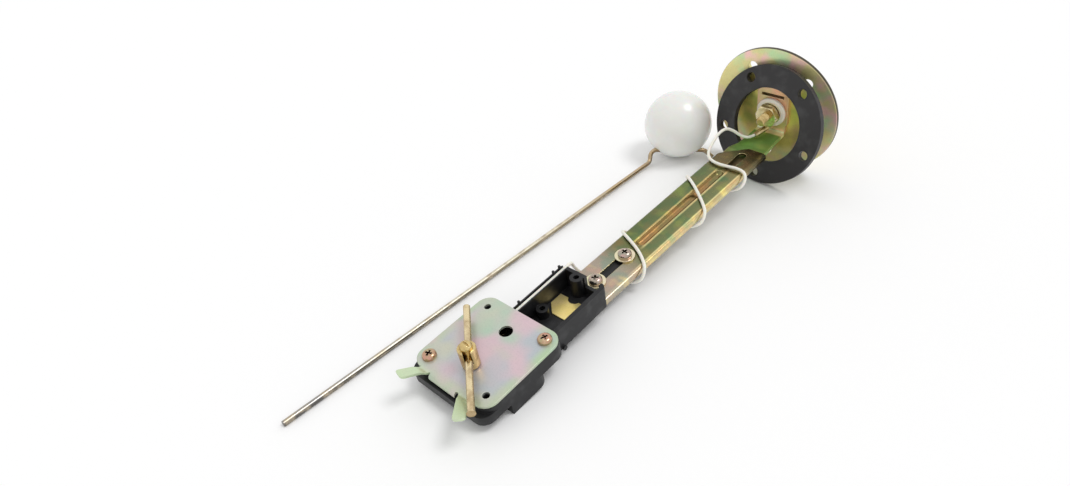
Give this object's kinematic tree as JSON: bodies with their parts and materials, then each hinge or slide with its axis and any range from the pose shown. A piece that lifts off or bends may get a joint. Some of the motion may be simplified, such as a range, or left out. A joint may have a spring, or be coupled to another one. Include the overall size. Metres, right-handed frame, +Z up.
{
  "type": "swing arm fuel sender",
  "caption": "Tank level sender: round bolted flange, slotted channel arm, boxed resistor with a swinging lever, and a loose ball float on a bent rod.",
  "frame": {"origin": "middle of the bounding box, at the table the set lies on", "axes": "+Z up from the table, +Y along the arm from the sensing head to the flange, +X away from the float"},
  "size_m": [0.1049, 0.3044, 0.0707],
  "materials": {
    "flange_zinc": "yellow passivated zinc with a faint rainbow sheen",
    "bracket_zinc": "yellow passivated zinc, copper to green",
    "arm_zinc": "olive passivated zinc, glossy",
    "cover_zinc": "pale iridescent zinc",
    "gasket_rubber": "matt black",
    "insulator_nylon": "off-white nylon",
    "brass": "turned, lightly worn",
    "contact_brass": "bright sheet",
    "lug_tin": "crimped and tarnished",
    "screw_zinc": "copper-toned zinc",
    "housing_black": "black moulded, fine grain",
    "former_card": "brown insulating card",
    "winding_wire": "close-wound resistance wire",
    "rod_zinc": "drawn wire, bronze-toned zinc",
    "float_white": "milky white, waxy",
    "wire_white": "soft white insulation"
  },
  "bodies": {
    "sender": {"flange_plate": "flange_zinc", "arm_bracket": "bracket_zinc", "ribbed_arm": "arm_zinc", "cover_plate": "cover_zinc", "flange_gasket": "gasket_rubber", "inner_insulator": "insulator_nylon", "outer_insulator": "insulator_nylon", "terminal_stud": "brass", "inner_nut": "brass", "outer_nut": "brass", "inner_washer": "brass", "outer_washer": "brass", "pivot_bush": "brass", "wire_tag": "brass", "contact_plate": "contact_brass", "ring_terminal": "lug_tin", "cover_screws": "screw_zinc", "slot_screws": "screw_zinc", "slot_washers": "screw_zinc", "slot_nuts": "screw_zinc", "resistor_housing": "housing_black", "resistor_former": "former_card", "resistor_winding": "winding_wire", "float_rod": "rod_zinc", "signal_wire": "wire_white"},
    "lever": {"pivot_hub": "brass", "clamp_screw": "screw_zinc", "lever_rod": "rod_zinc", "wiper_arm": "brass", "retaining_ring": "screw_zinc"},
    "float": {"float_ball": "float_white"}
  },
  "joints": [
    {"name": "lever_swing", "type": "hinge", "parent": "sender", "child": "lever", "pos_m": [0.01425, -0.09157, 0.01948], "axis": [0, -0.1227, 0.9924], "range_deg": [0, 85]},
    {"name": "float_turn", "type": "hinge", "parent": "sender", "child": "float", "pos_m": [-0.0276, 0.11154, 0.00711], "axis": [0.7244, 0.6854, -0.074], "range_deg": [0, 70]}
  ]
}
